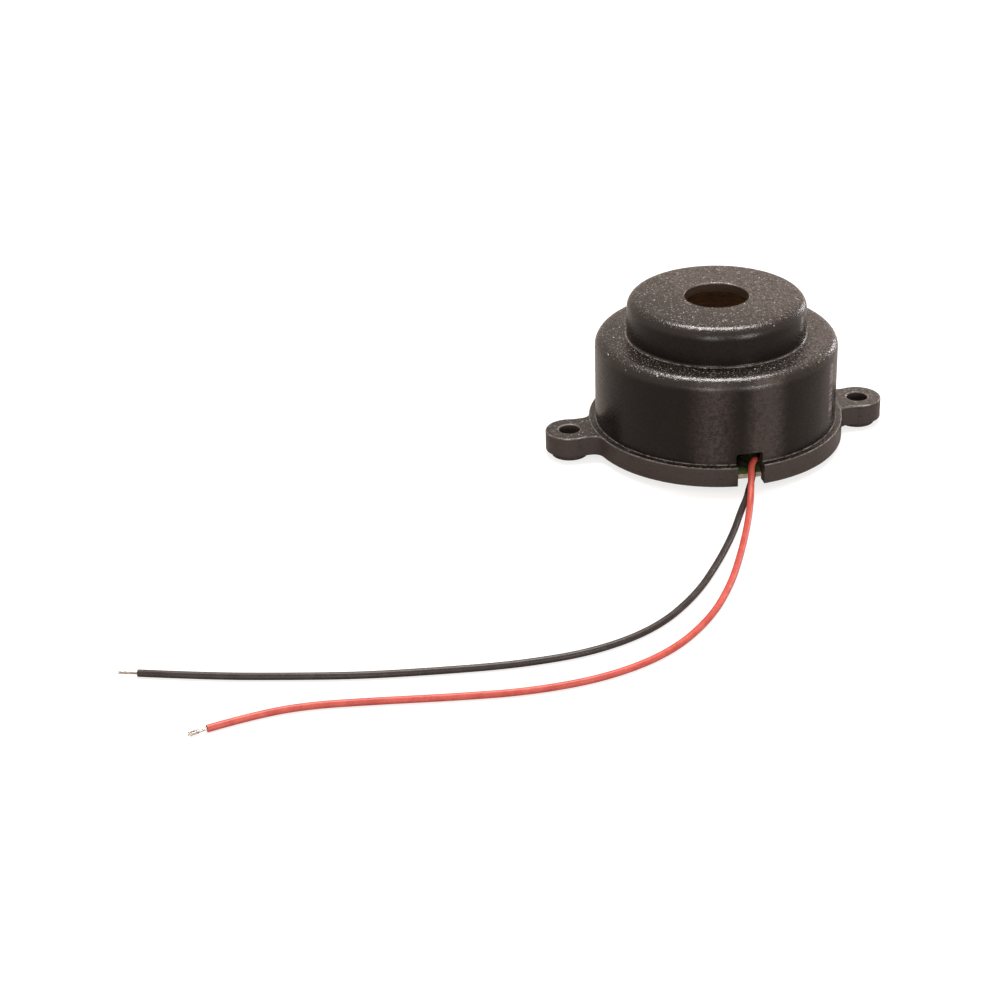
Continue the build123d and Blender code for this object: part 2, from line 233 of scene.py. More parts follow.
class Desk:
    """Nodes laid out in one tree: each call adds a node and gives the socket it makes."""

    def __init__(self, tree):
        self.tree = tree
        self.nodes = tree.nodes
        self.links = tree.links

    def set(self, socket, value):
        """Link a socket to another, or write a plain value on it."""
        if isinstance(value, bpy.types.NodeSocket):
            self.links.new(value, socket)
        elif value is not None:
            socket.default_value = value

    def node(self, kind, **settings):
        """A node of a kind with its settings."""
        made = self.nodes.new(kind)
        for key, value in settings.items():
            setattr(made, key, value)
        return made

    def math(self, operation, a, b=None, clamp=False):
        """A sum of one or two numbers."""
        made = self.node("ShaderNodeMath", operation=operation, use_clamp=clamp)
        self.set(made.inputs[0], a)
        self.set(made.inputs[1], b)
        return made.outputs[0]

    def plus(self, a, b):
        """Two numbers added."""
        return self.math("ADD", a, b)

    def minus(self, a, b):
        """The second number taken from the first."""
        return self.math("SUBTRACT", a, b)

    def rest(self, share):
        """What a share leaves of one."""
        return self.math("SUBTRACT", 1.0, share)

    def times(self, a, b):
        """Two numbers multiplied."""
        return self.math("MULTIPLY", a, b)

    def over(self, a, b):
        """The first number divided by the second."""
        return self.math("DIVIDE", a, b)

    def larger(self, a, b):
        """The larger of two numbers."""
        return self.math("MAXIMUM", a, b)

    def under(self, a, limit):
        """One where a number is less than a limit, and nothing elsewhere."""
        return self.math("LESS_THAN", a, limit)

    def past(self, a, limit):
        """One where a number is more than a limit, and nothing elsewhere."""
        return self.math("GREATER_THAN", a, limit)

    def unsigned(self, a):
        """A number without its sign."""
        return self.math("ABSOLUTE", a)

    def vector(self, operation, a, b=None):
        """A sum of vectors; lengths, distances and dot products come out as numbers."""
        made = self.node("ShaderNodeVectorMath", operation=operation)
        for socket, value in zip(made.inputs, (a, b)):
            self.set(socket, value)
        if operation in ("LENGTH", "DOT_PRODUCT", "DISTANCE"):
            return made.outputs["Value"]
        return made.outputs["Vector"]

    def scaled(self, vector, x, y, z):
        """A vector with its parts multiplied."""
        return self.vector("MULTIPLY", vector, (x, y, z))

    def parts(self, vector):
        """The X, Y and Z of a vector."""
        made = self.node("ShaderNodeSeparateXYZ")
        self.set(made.inputs[0], vector)
        return made.outputs[0], made.outputs[1], made.outputs[2]

    def joined(self, x, y, z):
        """A vector from its X, Y and Z."""
        made = self.node("ShaderNodeCombineXYZ")
        for socket, value in zip(made.inputs, (x, y, z)):
            self.set(socket, value)
        return made.outputs[0]

    def ramp(self, value, low, high, to_low=0.0, to_high=1.0):
        """A value eased from one range to another."""
        made = self.node("ShaderNodeMapRange", interpolation_type="SMOOTHSTEP")
        numbers = (value, low, high, to_low, to_high)
        for socket, number in zip(made.inputs, numbers):
            self.set(socket, number)
        return made.outputs[0]

    def noise(self, vector, scale=1.0, detail=2.0, roughness=0.5):
        """Soft cloudy noise between 0 and 1."""
        made = self.node("ShaderNodeTexNoise")
        self.set(made.inputs["Vector"], vector)
        self.set(made.inputs["Scale"], scale)
        made.inputs["Detail"].default_value = detail
        made.inputs["Roughness"].default_value = roughness
        return made.outputs[0]

    def blend(self, share, a, b):
        """One colour fading into another."""
        made = self.node("ShaderNodeMix", data_type="RGBA")
        self.set(made.inputs["Factor"], share)
        self.set(made.inputs["A"], a)
        self.set(made.inputs["B"], b)
        return made.outputs["Result"]

    def fade(self, share, a, b):
        """One number fading into another."""
        made = self.node("ShaderNodeMix", data_type="FLOAT")
        self.set(made.inputs["Factor"], share)
        self.set(made.inputs["A"], a)
        self.set(made.inputs["B"], b)
        return made.outputs["Result"]

    def bump(self, height, distance, strength=1.0, normal=None):
        """A normal that follows a height, its depth in metres."""
        made = self.node("ShaderNodeBump")
        made.inputs["Strength"].default_value = strength
        made.inputs["Distance"].default_value = distance
        self.set(made.inputs["Height"], height)
        self.set(made.inputs["Normal"], normal)
        return made.outputs[0]

    def shared(self, effect, **values):
        """One of the shared effects, with its values."""
        made = self.node("ShaderNodeGroup", node_tree=effect)
        for key, value in values.items():
            self.set(made.inputs[socket_name(key)], value)
        return made.outputs[0]


def shared_effect(name, output, **inputs):
    """A node group that gives one value, and the desk and sockets to lay it out with."""
    group = bpy.data.node_groups.new(name, "ShaderNodeTree")
    for key, value in inputs.items():
        kind = "NodeSocketVector" if value is None else "NodeSocketFloat"
        socket = group.interface.new_socket(socket_name(key), in_out="INPUT", socket_type=kind)
        if value is not None:
            socket.default_value = value
    group.interface.new_socket(output, in_out="OUTPUT", socket_type="NodeSocketFloat")
    desk = Desk(group)
    start = desk.node("NodeGroupInput")
    finish = desk.node("NodeGroupOutput")
    given = {key: start.outputs[socket_name(key)] for key in inputs}
    return group, desk, given, finish.inputs[0]


# Sparkly fine grain of a spark-eroded mould, as a height
grain, desk, given, result = shared_effect("moulded grain", "Height", position=None, size=0.2)
cell = desk.over(1.0, given["size"])
fine = desk.noise(given["position"], cell, 1.0, 0.6)
coarse = desk.noise(given["position"], desk.times(cell, 0.37), 1.0, 0.5)
desk.set(result, desk.plus(desk.times(fine, 0.7), desk.times(coarse, 0.45)))

# Dust: small round specks, scattered one to a cell, most of them left out
dust, desk, given, result = shared_effect(
    "dust specks", "Mask", position=None, spacing=1.0, speck=0.09, share=0.3
)
cells = desk.node("ShaderNodeTexVoronoi", feature="F1")
desk.set(cells.inputs["Vector"], given["position"])
desk.set(cells.inputs["Scale"], desk.over(1.0, given["spacing"]))
red_part, green_part, _ = desk.parts(cells.outputs["Color"])
radius = desk.over(given["speck"], given["spacing"])
radius = desk.times(radius, desk.ramp(green_part, 0.0, 1.0, 0.45, 1.0))
inside_speck = desk.under(cells.outputs["Distance"], radius)
kept = desk.under(red_part, given["share"])
desk.set(result, desk.times(inside_speck, kept))

# The line of an edge that runs round an upright axis
round_edge, desk, given, result = shared_effect(
    "round edge line", "Mask", position=None, radius=10.0, level=0.0, width=0.2
)
x, y, z = desk.parts(given["position"])
from_axis = desk.vector("LENGTH", desk.joined(x, y, 0.0))
off_radius = desk.minus(from_axis, given["radius"])
off_level = desk.minus(z, given["level"])
distance = desk.vector("LENGTH", desk.joined(off_radius, off_level, 0.0))
desk.set(result, desk.ramp(distance, given["width"], desk.times(given["width"], 0.3)))

# Faint level lines round the case, as a turned mould leaves them
turned_lines, desk, given, result = shared_effect("turned lines", "Height", position=None, pitch=0.12)
x, y, z = desk.parts(given["position"])
bearing = desk.math("ARCTAN2", x, y)
rise = desk.over(z, given["pitch"])
lines = desk.noise(desk.joined(desk.times(bearing, 2.5), rise, 0.0), 1.0, 2.0, 0.7)
desk.set(result, lines)

# Short light scratches, all lying about the same way
scratches, desk, given, result = shared_effect(
    "light scratches", "Mask", position=None, length=2.0, width=0.05, share=0.35
)
x, y, z = desk.parts(given["position"])
strokes = desk.joined(desk.over(x, given["length"]), desk.over(y, given["width"]), z)
strength = desk.noise(strokes, 1.0, 1.0, 0.5)
limit = desk.rest(given["share"])
desk.set(result, desk.ramp(strength, limit, desk.plus(limit, 0.08)))

# A straight track between two places on a board
straight_track, desk, given, result = shared_effect(
    "straight track", "Mask", position=None, start_x=0.0, start_y=0.0, end_x=1.0, end_y=0.0, width=0.9
)
start = desk.joined(given["start_x"], given["start_y"], 0.0)
run = desk.vector("SUBTRACT", desk.joined(given["end_x"], given["end_y"], 0.0), start)
off = desk.vector("SUBTRACT", given["position"], start)
share = desk.math(
    "DIVIDE", desk.vector("DOT_PRODUCT", off, run), desk.vector("DOT_PRODUCT", run, run), clamp=True
)
foot = desk.vector("MULTIPLY", run, desk.joined(share, share, share))
away = desk.vector("LENGTH", desk.vector("SUBTRACT", off, foot))
half = desk.over(given["width"], 2.0)
desk.set(result, desk.ramp(away, desk.plus(half, 0.06), half))


def finish(name):
    """A new finish: its material, the desk of its nodes and its shader."""
    material = bpy.data.materials.new(name)
    material.use_nodes = True
    desk = Desk(material.node_tree)
    shader = material.node_tree.nodes["Principled BSDF"]
    return material, desk, shader


def place_in_mm(desk, centre=(0, 0, 0), turn=0.0):
    """The place on a piece in millimetres, from a centre and turned about Z."""
    where = desk.node("ShaderNodeTexCoord")
    laid = desk.node("ShaderNodeMapping", vector_type="TEXTURE")
    laid.inputs["Location"].default_value = Vector(centre) * MM
    laid.inputs["Rotation"].default_value = (0, 0, radians(turn))
    laid.inputs["Scale"].default_value = (MM, MM, MM)
    desk.set(laid.inputs["Vector"], where.outputs["Object"])
    return laid.outputs[0]


def upwards(desk):
    """How much a face looks up: 1 up, 0 on its side, -1 down."""
    way = desk.node("ShaderNodeNewGeometry")
    return desk.parts(way.outputs["Normal"])[2]


# Colours of the case
case_deep = (0.0062, 0.0042, 0.0034, 1)
case_pale = (0.0095, 0.0066, 0.0055, 1)
# Colour of the dull haze, which on the level faces is partly a painted sheen
haze_and_sheen_colour = (0.056, 0.045, 0.042, 1)
# Colour of the painted glints
glint_colour = (0.3, 0.28, 0.27, 1)
# Colour of the painted highlight strip
strip_highlight_colour = (0.4, 0.37, 0.35, 1)
# Colour of the painted highlight lines along the edges
edge_highlight_colour = (0.42, 0.39, 0.37, 1)
scratch_colour = (0.13, 0.11, 0.1, 1)
dust_colour = (0.66, 0.63, 0.6, 1)
# Colours of the painted light inside the case and the port
painted_inside_deep = (0.26, 0.17, 0.12, 1)
painted_inside_pale = (0.4, 0.29, 0.2, 1)
port_painted_deep = (0.03, 0.02, 0.015, 1)
port_painted_pale = (0.09, 0.066, 0.05, 1)

# Look of the case. Bearings are in radians from the slot towards the right, and the rest
# in millimetres. A painted highlight band on the wall has a bearing, a half width in radians
# and an amount, and a span of the painted highlight strip the heights where it starts, is
# full, starts to fade and ends.
case_grain = 0.2
line_pitch = 0.16
# Side towards which the painted light on the level faces grows
painted_light_side = (0.75, 0.65, 0.0)
# Painted highlight bands on the wall
painted_highlight_bands = ((-0.3, 0.24, 0.75), (0.14, 0.22, 1.25))
# Where the painted highlight strip lies
highlight_strip_bearing = 0.935
highlight_strip_spans = ((16.0, 16.4, 17.8, 18.2), (4.6, 6.0, 12.0, 13.0))
scratch_tilt = -0.12
scratched_along = 3.4
scratched_level = 8.0
scratched_half_w = 3.2
scratched_half_h = 1.6
wall_ior = 1.25
level_ior = 1.5


def haze_and_painted_bands(desk, z, bearing, low_part, ripples):
    """How dull the upright faces are: streaks of haze on the ring, and painted highlight bands on the
    wall.
    """
    streaks = desk.ramp(ripples, 0.36, 0.64, 0.5, 1.5)
    sides = desk.times(low_part, desk.times(streaks, 1.85))
    # Painted highlight bands: paler upright bands on the wall
    for middle, half, amount in painted_highlight_bands:
        off = desk.unsigned(desk.minus(bearing, middle))
        band = desk.times(desk.ramp(off, half, 0.0), amount)
        band = desk.times(band, desk.under(z, shoulder_z))
        sides = desk.larger(sides, band)
    return sides


def painted_strip_highlight(desk, z, bearing, ripples):
    """A painted highlight: a pale strip on the right of each step, broken along the level lines."""
    spans = None
    for start, full, fading, stop in highlight_strip_spans:
        span = desk.times(desk.ramp(z, start, full), desk.ramp(z, stop, fading))
        spans = span if spans is None else desk.larger(spans, span)
    off = desk.unsigned(desk.minus(bearing, highlight_strip_bearing))
    strip = desk.times(desk.ramp(off, 0.055, 0.02), spans)
    return desk.times(strip, desk.ramp(ripples, 0.42, 0.6))


def painted_edge_highlights(desk, spot):
    """Painted highlight lines along the edges: feet and rims of the steps, the ring, the port and the
    lugs.
    """
    x, y, z = desk.parts(spot)
    across = desk.minus(desk.unsigned(x), lug_x)
    at_lug = desk.joined(across, y, z)
    on_eye = desk.past(across, -1.6)
    highlit = None
    for place, within, radius, level, width, amount in (
        (spot, 1.0, tier_r + 0.12, shoulder_z + 0.05, 0.12, 0.7),
        (spot, 1.0, case_r + 0.02, ring_top + 0.02, 0.12, 0.85),
        (spot, 1.0, ring_r - 0.05, ring_top - 0.02, 0.11, 0.75),
        (spot, 1.0, port_r + 0.06, case_top - 0.03, 0.12, 0.4),
        (spot, 1.0, ring_r, ring_low, 0.14, 0.3),
        (at_lug, on_eye, lug_eye_r - 0.05, ring_top - 0.03, 0.12, 0.6),
        (at_lug, on_eye, lug_hole_r + 0.1, ring_top - 0.02, 0.13, 0.9),
    ):
        line = desk.shared(round_edge, position=place, radius=radius, level=level, width=width)
        line = desk.times(desk.times(line, within), amount)
        highlit = line if highlit is None else desk.larger(highlit, line)
    off_side = desk.minus(desk.unsigned(y), lug_web_w / 2)
    web_edge = desk.vector("LENGTH", desk.joined(off_side, desk.minus(z, ring_top), 0.0))
    on_web = desk.past(desk.unsigned(x), ring_r)
    web_edge = desk.times(desk.ramp(web_edge, 0.12, 0.03), on_web)
    highlit = desk.larger(highlit, web_edge)
    broken = desk.ramp(desk.noise(spot, 1.3, 4.0, 0.8), 0.36, 0.66)
    return desk.times(highlit, broken)


def wall_scratches(desk, z, bearing):
    """A patch of scratches on the wall to the right of the slot."""
    along = desk.times(bearing, case_r)
    tilted = desk.plus(z, desk.times(along, scratch_tilt))
    strokes = desk.joined(along, tilted, 0.0)
    marks = desk.shared(scratches, position=strokes, length=2.2, width=0.07, share=0.36)
    right = desk.over(desk.minus(along, scratched_along), scratched_half_w)
    rise = desk.over(desk.minus(z, scratched_level), scratched_half_h)
    patch = desk.vector("LENGTH", desk.joined(right, rise, 0.0))
    return desk.times(marks, desk.ramp(patch, 1.0, 0.4))


def settled_dust(desk, spot, from_axis, z, up):
    """Dust on the faces that look up, with more of it round the foot of the tier."""
    specks = desk.shared(dust, position=spot, spacing=0.6, speck=0.1, share=0.17)
    more = desk.shared(dust, position=spot, spacing=0.45, speck=0.1, share=0.3)
    at_foot = desk.ramp(from_axis, tier_r + 1.55, tier_r + 0.25)
    more = desk.times(desk.times(at_foot, more), desk.under(z, shoulder_z + 0.9))
    more = desk.times(more, desk.past(z, shoulder_z - 0.3))
    return desk.times(desk.larger(specks, more), desk.ramp(up, 0.3, 0.8))


def moulded_case():
    """Warm black moulded plastic: grained on its level faces, satin and lined on its walls."""
    material, desk, shader = finish("black moulded case")
    spot = place_in_mm(desk)
    x, y, z = desk.parts(spot)
    from_axis = desk.vector("LENGTH", desk.joined(x, y, 0.0))
    bearing = desk.math("ARCTAN2", x, desk.times(y, -1.0))
    up = upwards(desk)
    level_face = desk.ramp(up, 0.55, 0.95)
    wall = desk.rest(level_face)
    low_part = desk.ramp(z, ring_top + 0.05, ring_top - 0.02)
    ripples = desk.shared(turned_lines, position=spot, pitch=line_pitch)
    pits = desk.shared(grain, position=spot, size=case_grain)
    clouds = desk.noise(spot, 0.3, 4.0, 0.6)
    mottle = desk.noise(spot, 3.2, 2.0, 0.6)

    # Warm black under a dull haze. On the level faces the haze is partly a painted sheen, painted
    # stronger towards the back right where more light falls, and the bright points are painted glints
    colour = desk.blend(clouds, case_deep, case_pale)
    towards_painted_light = desk.vector("DOT_PRODUCT", spot, painted_light_side)
    haze_and_sheen = desk.times(level_face, desk.ramp(towards_painted_light, -10.0, 11.0, 0.05, 1.15))
    haze_and_sheen = desk.times(haze_and_sheen, desk.ramp(pits, 0.44, 0.72, 0.0, 2.2))
    sides = desk.plus(haze_and_painted_bands(desk, z, bearing, low_part, ripples), 0.08)
    sides = desk.times(sides, desk.ramp(pits, 0.4, 0.76, 0.5, 1.5))
    haze_and_sheen = desk.plus(haze_and_sheen, desk.times(sides, wall))
    haze_and_sheen = desk.times(haze_and_sheen, desk.ramp(clouds, 0.2, 0.8, 0.75, 1.1))
    colour = desk.blend(haze_and_sheen, colour, haze_and_sheen_colour)
    # Painted glints: bright points on the level faces
    painted_glints = desk.ramp(desk.noise(spot, 4.2, 1.0, 0.5), 0.6, 0.72)
    painted_glints = desk.times(painted_glints, level_face)
    colour = desk.blend(desk.times(painted_glints, 0.7), colour, glint_colour)
    # Painted highlight: a pale strip on the right of each step
    strip = painted_strip_highlight(desk, z, bearing, ripples)
    colour = desk.blend(desk.times(strip, 0.6), colour, strip_highlight_colour)

    # Painted light inside the case and the port: a lighter brown than the case, paler along the level
    # lines
    in_port = desk.under(from_axis, port_r + 0.12)
    in_tier = desk.times(desk.under(from_axis, tier_r - 0.5), desk.under(z, case_top - 0.6))
    painted_inside = desk.blend(desk.ramp(ripples, 0.3, 0.7), painted_inside_deep, painted_inside_pale)
    painted_inside = desk.blend(in_port, painted_inside, desk.blend(ripples, port_painted_deep, port_painted_pale))
    colour = desk.blend(desk.larger(in_port, in_tier), colour, painted_inside)

    # Painted highlight lines along the edges, then scratches and dust on top
    colour = desk.blend(desk.times(painted_edge_highlights(desk, spot), 0.85), colour, edge_highlight_colour)
    marks = desk.times(wall_scratches(desk, z, bearing), wall)
    colour = desk.blend(desk.times(marks, 0.3), colour, scratch_colour)
    specks = settled_dust(desk, spot, from_axis, z, up)
    colour = desk.blend(desk.times(specks, 0.75), colour, dust_colour)
    desk.set(shader.inputs["Base Color"], colour)

    # Gloss: duller on the ring, in the dust and in the scratches, and weaker on upright faces
    gloss = desk.fade(level_face, desk.fade(mottle, 0.24, 0.32), desk.fade(mottle, 0.22, 0.32))
    gloss = desk.plus(gloss, desk.times(low_part, 0.1))
    gloss = desk.plus(gloss, desk.times(desk.larger(specks, marks), 0.25))
    desk.set(shader.inputs["Roughness"], gloss)
    desk.set(shader.inputs["IOR"], desk.fade(desk.ramp(up, 0.0, 0.4), wall_ior, level_ior))

    # Relief: grain on the level faces and lugs, level lines on the walls, slow waves overall
    grained = desk.larger(level_face, desk.times(low_part, 0.8))
    grained = desk.fade(desk.ramp(up, 0.0, 0.5), desk.times(grained, 0.8), 1.0)
    pitted = desk.bump(desk.times(pits, desk.fade(grained, 0.2, 1.0)), 0.05 * MM)
    lined = desk.bump(desk.times(ripples, wall), 0.02 * MM, normal=pitted)
    waves = desk.noise(spot, 0.22, 2.0, 0.5)
    desk.set(shader.inputs["Normal"], desk.bump(waves, 0.08 * MM, strength=0.6, normal=lined))
    return material


def lead_insulation(name, pale, deep, scuff):
    """Extruded insulation: one colour with a little cloud, a fine skin and handling marks."""
    material, desk, shader = finish(name)
    spot = place_in_mm(desk)
    clouds = desk.noise(spot, 0.55, 4.0, 0.6)
    colour = desk.blend(desk.ramp(clouds, 0.3, 0.7), deep, pale)
    mottle = desk.noise(spot, 4.5, 2.0, 0.6)
    colour = desk.blend(desk.times(desk.ramp(mottle, 0.5, 0.75), 0.3), colour, scuff)
    specks = desk.shared(dust, position=spot, spacing=0.8, speck=0.06, share=0.12)
    colour = desk.blend(desk.times(specks, 0.6), colour, lint_colour)
    desk.set(shader.inputs["Base Color"], colour)
    desk.set(shader.inputs["Roughness"], desk.fade(mottle, 0.34, 0.5))
    skin = desk.shared(grain, position=spot, size=0.12)
    desk.set(shader.inputs["Normal"], desk.bump(skin, 0.014 * MM))
    return material


def metal(name, bright, dull, rough_low, rough_high, size, depth):
    """Bare metal with a little cloud and a fine uneven skin."""
    material, desk, shader = finish(name)
    spot = place_in_mm(desk)
    clouds = desk.noise(spot, 1.0 / size, 3.0, 0.6)
    desk.set(shader.inputs["Base Color"], desk.blend(desk.ramp(clouds, 0.3, 0.7), dull, bright))
    shader.inputs["Metallic"].default_value = 1.0
    desk.set(shader.inputs["Roughness"], desk.fade(clouds, rough_high, rough_low))
    skin = desk.shared(grain, position=spot, size=size * 0.5)
    desk.set(shader.inputs["Normal"], desk.bump(skin, depth))
    return material


def plain_body(name, pale, deep, rough, size, depth):
    """A small moulded, fired or dipped body with a faint grain."""
    material, desk, shader = finish(name)
    spot = place_in_mm(desk)
    clouds = desk.noise(spot, 0.8, 3.0, 0.6)
    desk.set(shader.inputs["Base Color"], desk.blend(clouds, deep, pale))
    desk.set(shader.inputs["Roughness"], desk.fade(clouds, rough - 0.06, rough + 0.06))
    skin = desk.shared(grain, position=spot, size=size)
    desk.set(shader.inputs["Normal"], desk.bump(skin, depth))
    return material


def board_laminate(legs, tracks, pad_r=0.95, track_w=0.9):
    """Green resist over glass laminate: a pale cut edge, and tracks and tinned pads below.

    The legs are the places of the pads, and the tracks pairs of places that they join.
    """
    material, desk, shader = finish("green circuit board")
    spot = place_in_mm(desk)
    x, y, z = desk.parts(spot)
    flat = desk.joined(x, y, 0.0)
    face = desk.ramp(desk.unsigned(upwards(desk)), 0.4, 0.6)
    below = desk.under(upwards(desk), -0.5)
    clouds = desk.noise(spot, 0.6, 3.0, 0.6)
    weave = desk.noise(desk.scaled(spot, 1.6, 5.0, 1.0), 1.0, 2.0, 0.5)

    # Upper face: resist over bare laminate, pale where the light comes through, and painted paler
    # than the lower face as painted light against the shade in the slot
    green = desk.blend(clouds, (0.25, 0.44, 0.14, 1), (0.33, 0.57, 0.19, 1))
    green = desk.blend(desk.times(weave, 0.25), green, (0.36, 0.56, 0.22, 1))

    # Lower face: deeper green, paler over the tracks
    deep = desk.blend(clouds, (0.022, 0.105, 0.03, 1), (0.035, 0.15, 0.045, 1))
    for (x0, y0), (x1, y1) in tracks:
        line = desk.shared(
            straight_track, position=flat, start_x=x0, start_y=y0, end_x=x1, end_y=y1, width=track_w
        )
        deep = desk.blend(line, deep, (0.075, 0.27, 0.08, 1))
    pad = None
    for place in legs:
        away = desk.vector("DISTANCE", flat, (*place, 0.0))
        pad = away if pad is None else desk.math("MINIMUM", pad, away)
    pad = desk.times(desk.ramp(pad, pad_r + 0.03, pad_r - 0.03), below)
    green = desk.blend(below, green, deep)
    green = desk.blend(pad, green, tinned)

    # Cut edge, in layers of glass, painted pale as painted light against the shade in the slot
    turn = desk.math("ARCTAN2", x, y)
    layers = desk.noise(desk.joined(turn, desk.times(z, 9.0), 0.0), 6.0, 3.0, 0.7)
    edge = desk.blend(desk.ramp(layers, 0.38, 0.62), (0.5, 0.36, 0.2, 1), (0.95, 0.86, 0.68, 1))
    desk.set(shader.inputs["Base Color"], desk.blend(face, edge, green))
    desk.set(shader.inputs["Metallic"], pad)
    desk.set(shader.inputs["Roughness"], desk.fade(face, 0.75, 0.32))
    skin = desk.plus(desk.times(weave, face), desk.times(layers, 0.6))
    desk.set(shader.inputs["Normal"], desk.bump(skin, 0.02 * MM))
    return material


def banded_body(name, centre, turn, body, bands, rough, body_end=1.97):
    """A small round body with colour bands across its length, and tinned legs past its ends."""
    material, desk, shader = finish(name)
    spot = place_in_mm(desk, centre, turn)
    x, _, _ = desk.parts(spot)
    clouds = desk.noise(spot, 1.2, 3.0, 0.6)
    colour = desk.blend(clouds, body, tuple(min(1, c * 1.25) for c in body[:3]) + (1,))
    for middle, width, paint in bands:
        off = desk.unsigned(desk.minus(x, middle))
        ragged = desk.plus(off, desk.times(clouds, 0.05))
        band = desk.ramp(ragged, width / 2 + 0.05, width / 2)
        colour = desk.blend(band, colour, paint)
    leg = desk.past(desk.unsigned(x), body_end)
    colour = desk.blend(leg, colour, tinned)
    desk.set(shader.inputs["Base Color"], colour)
    desk.set(shader.inputs["Metallic"], leg)
    desk.set(shader.inputs["Roughness"], desk.fade(leg, rough, 0.3))
    skin = desk.shared(grain, position=spot, size=0.2)
    desk.set(shader.inputs["Normal"], desk.bump(skin, 0.012 * MM))
    return material


def wound_copper():
    """Enamelled copper wire wound in level turns."""
    material, desk, shader = finish("copper winding")
    wire_pitch = 0.22
    spot = place_in_mm(desk)
    _, _, z = desk.parts(spot)
    turns = desk.math("SINE", desk.times(z, 2 * pi / wire_pitch))
    clouds = desk.noise(spot, 0.9, 2.0, 0.5)
    groove = desk.ramp(turns, -0.9, 0.2)
    colour = desk.blend(groove, (0.16, 0.04, 0.015, 1), (0.62, 0.22, 0.08, 1))
    colour = desk.blend(desk.times(clouds, 0.4), colour, (0.4, 0.12, 0.04, 1))
    desk.set(shader.inputs["Base Color"], colour)
    shader.inputs["Metallic"].default_value = 0.85
    desk.set(shader.inputs["Roughness"], desk.fade(clouds, 0.25, 0.4))
    desk.set(shader.inputs["Normal"], desk.bump(turns, 0.04 * MM))
    return material


red_finish = lead_insulation(
    "red insulation",
    pale=(0.55, 0.09, 0.068, 1), deep=(0.43, 0.05, 0.037, 1), scuff=(0.6, 0.2, 0.16, 1),
)
black_finish = lead_insulation(
    "black insulation",
    pale=(0.03, 0.023, 0.021, 1), deep=(0.014, 0.01, 0.009, 1), scuff=(0.09, 0.075, 0.07, 1),
)
tin_finish = metal(
    "tinned copper", bright=(0.66, 0.63, 0.6, 1), dull=(0.42, 0.36, 0.31, 1),
    rough_low=0.24, rough_high=0.42, size=0.3, depth=0.01 * MM,
)
solder_finish = metal(
    "solder", bright=(0.7, 0.7, 0.68, 1), dull=(0.46, 0.46, 0.45, 1),
    rough_low=0.18, rough_high=0.4, size=0.5, depth=0.03 * MM,
)
brass_finish = metal(
    "rolled brass", bright=(0.7, 0.5, 0.27, 1), dull=(0.5, 0.36, 0.2, 1),
    rough_low=0.4, rough_high=0.6, size=1.2, depth=0.02 * MM,
)
silver_finish = metal(
    "silver print", bright=(0.78, 0.77, 0.74, 1), dull=(0.6, 0.59, 0.56, 1),
    rough_low=0.42, rough_high=0.6, size=0.4, depth=0.01 * MM,
)
ceramic_finish = plain_body(
    "piezo ceramic", pale=(0.74, 0.68, 0.52, 1), deep=(0.62, 0.55, 0.4, 1),
    rough=0.6, size=0.15, depth=0.01 * MM,
)
silicone_finish = plain_body(
    "silicone", pale=(0.82, 0.81, 0.77, 1), deep=(0.7, 0.68, 0.63, 1),
    rough=0.32, size=0.5, depth=0.04 * MM,
)
ferrite_finish = plain_body(
    "ferrite", pale=(0.085, 0.083, 0.08, 1), deep=(0.045, 0.044, 0.043, 1),
    rough=0.55, size=0.12, depth=0.03 * MM,
)
resin_finish = plain_body(
    "transistor resin", pale=(0.034, 0.032, 0.031, 1), deep=(0.018, 0.017, 0.016, 1),
    rough=0.45, size=0.14, depth=0.02 * MM,
)
dipped_finish = plain_body(
    "dipped capacitor", pale=(0.6, 0.27, 0.06, 1), deep=(0.42, 0.16, 0.03, 1),
    rough=0.22, size=0.8, depth=0.05 * MM,
)
sleeve_finish = plain_body(
    "jumper sleeve", pale=(0.78, 0.76, 0.72, 1), deep=(0.62, 0.6, 0.56, 1),
    rough=0.4, size=0.3, depth=0.01 * MM,
)

# Colour bands of the resistors and the diode, and where the resistors sit: X, Y and turn
tan = (0.55, 0.4, 0.22, 1)
brown = (0.12, 0.04, 0.015, 1)
ink = (0.012, 0.012, 0.012, 1)
orange = (0.7, 0.2, 0.02, 1)
gold = (0.6, 0.42, 0.12, 1)
violet = (0.16, 0.05, 0.3, 1)
glass = (0.42, 0.12, 0.04, 1)
bands_at = (-1.15, -0.6, -0.05, 1.15)
band_w = 0.32
coding = {
    "resistor_1": (brown, ink, orange, gold),
    "resistor_2": (brown, ink, brown, gold),
    "resistor_3": (orange, orange, violet, gold),
}
seats = {"resistor_1": (5.6, -1.6, 90), "resistor_2": (8.8, -1.6, 90), "resistor_3": (-0.4, 10.4, 0)}

# Places of the legs under the board, in millimetres, and the tracks between them
legs = (
    (5.6, -4.9), (5.6, 1.7), (8.8, -4.9), (8.8, 1.7), (-3.7, 10.4), (2.9, 10.4), (-3.7, -5.6), (2.9, -5.6),
    (-9.5, -6.16), (-7.7, -3.04), (3.53, 6.0), (4.8, 6.0), (6.07, 6.0), (-7.75, 3.14), (-3.05, 4.86),
)
tracks = (
    ((5.6, 1.7), (4.8, 6.0)),
    ((8.8, 1.7), (6.07, 6.0)),
    ((2.9, 10.4), (3.53, 6.0)),
    ((5.6, -4.9), (2.9, -5.6)),
    ((8.8, -4.9), (5.6, -4.9)),
    ((-3.7, 10.4), (-3.05, 4.86)),
    ((-7.75, 3.14), (-7.7, -3.04)),
    ((-9.5, -6.16), (-3.7, -5.6)),
    ((-3.05, 4.86), (2.9, 10.4)),
)

